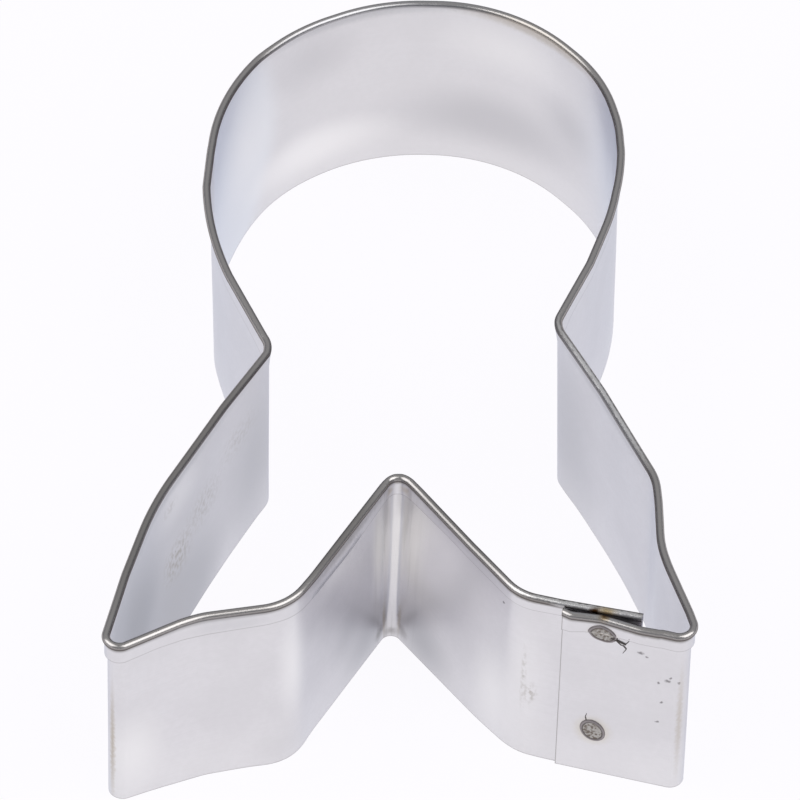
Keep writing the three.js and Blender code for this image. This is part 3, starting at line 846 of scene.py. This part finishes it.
def plating_and_painted_light(tree, sheet, across):
    """Colour of the tin: rolling grain, clouds and fine peel, a painted reflection that makes the low part of
    the wall paler, and soft patches of painted reflection and painted shade.
    """
    colour = TIN
    for pattern in (GRAIN, CLOUDS, PEEL):
        colour = blend(tree, patterned(tree, sheet, pattern), colour, TIN_SHADE)
    # Painted reflection: the low part of the wall painted paler
    low = band(tree, across, -SHEET, LOW_SHEEN, LOW_SHEEN_CORE)
    colour = blend(tree, math_node(tree, "MULTIPLY", low, LOW_SHEEN_STRENGTH), colour, PAINTED_SHEEN_TIN)
    # Soft patches of painted reflection and painted shade on both faces
    outer_painted_light = [tone._replace(across=outer(tone.across)) for tone in OUTER_PAINTED_LIGHT]
    for tone in (*INNER_PAINTED_LIGHT, *outer_painted_light):
        colour = blend(tree, spot(tree, sheet, tone), colour, tone.colour)
    return colour


def roll_colour(tree, across):
    """Colour of the roll, with a painted highlight and painted shade: paler on its crown than on its sides.
    """
    crown = ROLL_HEIGHT + ROLL_DIAMETER / 2 * (math.pi - ROLL_CROWN)
    return blend(tree, band(tree, across, crown, ROLL_PAINTED_SHADE_HALF, ROLL_CROWN_HALF), ROLL_PAINTED_SHADE, ROLL_TIN)


def shade_and_grime_lines(tree, colour, run, across, section, length):
    """Colour with dark lines: painted shade with some grime in the groove, dirt with a painted shadow along
    the raw edge, a painted contact shadow along the cutting edge and a painted shadow in the gap at the seam.
    """
    lines = (
        (section.groove_across, GROOVE_HALF, 0.0, GROOVE_STRENGTH),
        (section.raw_edge_across, RAW_LINE_HALF, 0.0, RAW_LINE_STRENGTH),
        (-HALF, EDGE_LINE_HALF, HALF, EDGE_LINE_STRENGTH),
    )
    for middle, half_width, half_core, strength in lines:
        line = band(tree, across, middle, half_width, half_core)
        colour = blend(tree, math_node(tree, "MULTIPLY", line, strength), colour, GRIME_AND_SHADE)
    # Painted shadow in the gap at the seam
    seam = remap(tree, run, length - SEAM_LINE, length, 0.0, SEAM_STRENGTH)
    return blend(tree, seam, colour, GRIME_AND_SHADE)


def stained_and_painted(tree, colour, sheet, section, length):
    """Colour with the marks of use and of welding, and with the painted light along the hem and at the foot
    of the notch's crease. Smudges are mottled.
    """
    shaken = ragged(tree, sheet)
    mottle = patterned(tree, sheet, MOTTLE)
    for mark in (*hem_grime_and_painted_light(section, length), *wall_marks(length), *weld_marks(section, length)):
        share = spot(tree, shaken, mark)
        if mark.colour is SMUDGE:
            share = math_node(tree, "MULTIPLY", share, mottle)
        colour = blend(tree, share, colour, mark.colour)
    return colour


def tinplate(section, length):
    """Bright tinplate with faint rolling grain, worn bends, a hem with grime, painted shade and painted
    highlights, painted reflections and painted shade on the walls, and the marks of use.
    """
    material, tree, shader = new_material("tinplate")
    sheet = add(tree, "UVMap", uv_map="sheet").outputs[0]
    run, across = add(tree, "SeparateXYZ", Vector=sheet).outputs[:2]
    wear = add(tree, "SeparateXYZ", Vector=add(tree, "UVMap", uv_map="wear").outputs[0]).outputs[0]
    roll_half = (section.groove_across - ROLL_HEIGHT) / 2
    on_roll = band(tree, across, ROLL_HEIGHT + roll_half, roll_half + ROLL_FADE, roll_half)
    worn = math_node(tree, "MULTIPLY", wear, patterned(tree, sheet, STREAKS))
    colour = blend(tree, worn, plating_and_painted_light(tree, sheet, across), GRIME_AND_SHADE)
    # The roll's colour, with its painted highlight and painted shade
    colour = blend(tree, on_roll, colour, roll_colour(tree, across))
    colour = shade_and_grime_lines(tree, colour, run, across, section, length)
    colour = stained_and_painted(tree, colour, sheet, section, length)
    feed(tree, shader.inputs["Base Color"], colour)
    feed(tree, shader.inputs["Roughness"], remap(tree, on_roll, 0.0, 1.0, TIN_ROUGHNESS, ROLL_ROUGHNESS))
    feed(tree, shader.inputs["Specular Tint"], blend(tree, on_roll, WALL_EDGE_TINT, ROLL_EDGE_TINT))
    shader.inputs["Metallic"].default_value = 1.0
    shader.inputs["Anisotropic"].default_value = TIN_ANISOTROPY
    shader.inputs["Anisotropic Rotation"].default_value = QUARTER_TURN
    tangent = add(tree, "Tangent", direction_type="UV_MAP", uv_map="sheet")
    feed(tree, shader.inputs["Tangent"], tangent.outputs[0])
    return material


def weld_metal():
    """Dull, crinkled weld metal inside a burnt ring."""
    material, tree, shader = new_material("weld_metal")
    share = add(tree, "SeparateXYZ", Vector=add(tree, "UVMap", uv_map="disc").outputs[0]).outputs[0]
    place = add(tree, "TexCoord").outputs["Object"]
    crinkle = add(tree, "TexNoise", Vector=place, Scale=WELD_GRAIN, Detail=WELD_GRAIN_DETAIL).outputs[0]
    colour = blend(tree, remap(tree, crinkle, WELD_GRAIN_LOW, WELD_GRAIN_HIGH), WELD_PALE, WELD_DARK)
    burnt = remap(tree, share, WELD_RING - WELD_BURNT_FADE, WELD_RING)
    colour = blend(tree, burnt, colour, WELD_BURNT)
    rim = band(tree, share, (1 + WELD_RING) / 2, (1 - WELD_RING) / 2, WELD_RIM_CORE)
    colour = blend(tree, rim, colour, WELD_RIM)
    feed(tree, shader.inputs["Base Color"], colour)
    shader.inputs["Metallic"].default_value = WELD_METALLIC
    shader.inputs["Roughness"].default_value = WELD_ROUGHNESS
    bump = add(tree, "Bump", Strength=WELD_BUMP, Distance=WELD_BUMP_DEPTH * MM, Height=crinkle)
    feed(tree, shader.inputs["Normal"], bump.outputs[0])
    return material


def burnt_thread():
    """Dark metal of the threads squirted out of the welds."""
    material, _, shader = new_material("burnt_thread")
    shader.inputs["Base Color"].default_value = WELD_BURNT
    shader.inputs["Metallic"].default_value = THREAD_METALLIC
    shader.inputs["Roughness"].default_value = THREAD_ROUGHNESS
    return material


def floor_material():
    """Pale floor that keeps the shadow, and is seen and mirrored as near white."""
    material, tree, shader = new_material("pale_floor")
    tree.nodes.remove(shader)
    paths = add(tree, "LightPath")
    glossy = paths.outputs["Is Glossy Ray"]
    mirrored = math_node(tree, "MAXIMUM", glossy, paths.outputs["Is Transmission Ray"])
    mirrored = math_node(tree, "MULTIPLY", mirrored, FLOOR_MIRROR_GLOW)
    seen = math_node(tree, "MULTIPLY", paths.outputs["Is Camera Ray"], FLOOR_SEEN_GLOW)
    share = math_node(tree, "MAXIMUM", seen, mirrored)
    diffuse = add(tree, "BsdfDiffuse", Color=FLOOR_COLOUR)
    glow = add(tree, "Emission", Color=FLOOR_GLOW, Strength=1.0)
    mixed = add(tree, "MixShader")
    feed_all(tree, mixed.inputs, (share, diffuse.outputs[0], glow.outputs[0]))
    tree.links.new(mixed.outputs[0], tree.nodes["Material Output"].inputs["Surface"])
    return material


def pale_floor():
    angles = [2 * math.pi * i / FLOOR_SIDES for i in range(FLOOR_SIDES)]
    rim = [(FLOOR_RADIUS * math.cos(a), FLOOR_RADIUS * math.sin(a), 0.0) for a in angles]
    floor = mesh_piece("pale_floor", rim, [range(FLOOR_SIDES)], floor_material())


def studio_world():
    """Soft surroundings, dim near the horizon and lighter overhead."""
    world = bpy.data.worlds.new("studio")
    bpy.context.scene.world = world
    world.use_nodes = True
    tree = world.node_tree
    direction = add(tree, "TexCoord").outputs["Generated"]
    height = add(tree, "SeparateXYZ", Vector=direction).outputs["Z"]
    ramp = add(tree, "ValToRGB", Fac=height)
    stops = ramp.color_ramp.elements
    while len(stops) < len(SKY):
        stops.new(1.0)
    for stop, (position, *colour) in zip(stops, SKY):
        stop.position = position
        stop.color = (*colour, 1)
    feed(tree, tree.nodes["Background"].inputs["Color"], ramp.outputs[0])


def softbox(box):
    """A rectangular lamp facing the cutter. Azimuth 0 is in front of it and grows to the right."""
    lamp = bpy.data.lights.new(box.name, "AREA")
    lamp.shape = "RECTANGLE"
    lamp.size = box.width
    lamp.size_y = box.height
    lamp.energy = box.watts
    azimuth = math.radians(box.azimuth)
    elevation = math.radians(box.elevation)
    level = math.cos(elevation)
    towards = Vector((level * math.sin(azimuth), -level * math.cos(azimuth), math.sin(elevation)))
    holder = bpy.data.objects.new(box.name, lamp)
    holder.location = towards * box.distance
    holder.rotation_euler = towards.to_track_quat("Z", "Y").to_euler()
    bpy.context.scene.collection.objects.link(holder)


def photo_camera():
    lens = bpy.data.cameras.new("camera")
    lens.lens = CAMERA_LENS
    lens.sensor_width = CAMERA_SENSOR
    lens.sensor_fit = "HORIZONTAL"
    turn = Matrix.Rotation(math.pi / 2 - CAMERA_PITCH, 3, "X") @ Matrix.Rotation(CAMERA_ROLL, 3, "Z")
    behind = turn @ Vector((0, 0, CAMERA_DISTANCE))
    camera = bpy.data.objects.new("camera", lens)
    camera.matrix_world = Matrix.Translation((CAMERA_AIM + behind) * MM) @ turn.to_4x4()
    bpy.context.scene.collection.objects.link(camera)
    bpy.context.scene.camera = camera


bpy.context.scene.view_settings.view_transform = "Standard"
studio_world()
for box in SOFTBOXES:
    softbox(box)
photo_camera()
pale_floor()

strip_path = StripPath()
hem_section = strip_section()
strip_grid = strip_vertices(strip_path, hem_section)
cad_middle = np.mean(np.array(cad_box), axis=0) / MM
model_shift = cad_middle - (strip_grid.min(axis=(0, 1)) + strip_grid.max(axis=(0, 1))) / 2
model_shift[2] = 0.0

tin = tinplate(hem_section, strip_path.length)
strip = ribbon_strip(strip_path, strip_grid + model_shift, hem_section, tin)
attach(strip, "root")
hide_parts("tinplate_strip")

slug_metal = weld_metal()
for weld in (UPPER_WELD, LOWER_WELD):
    slug = spot_weld(weld, model_shift, slug_metal)
    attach(slug, "root")
    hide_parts(weld.node)
whiskers = weld_whiskers(model_shift, burnt_thread())
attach(whiskers, "root")
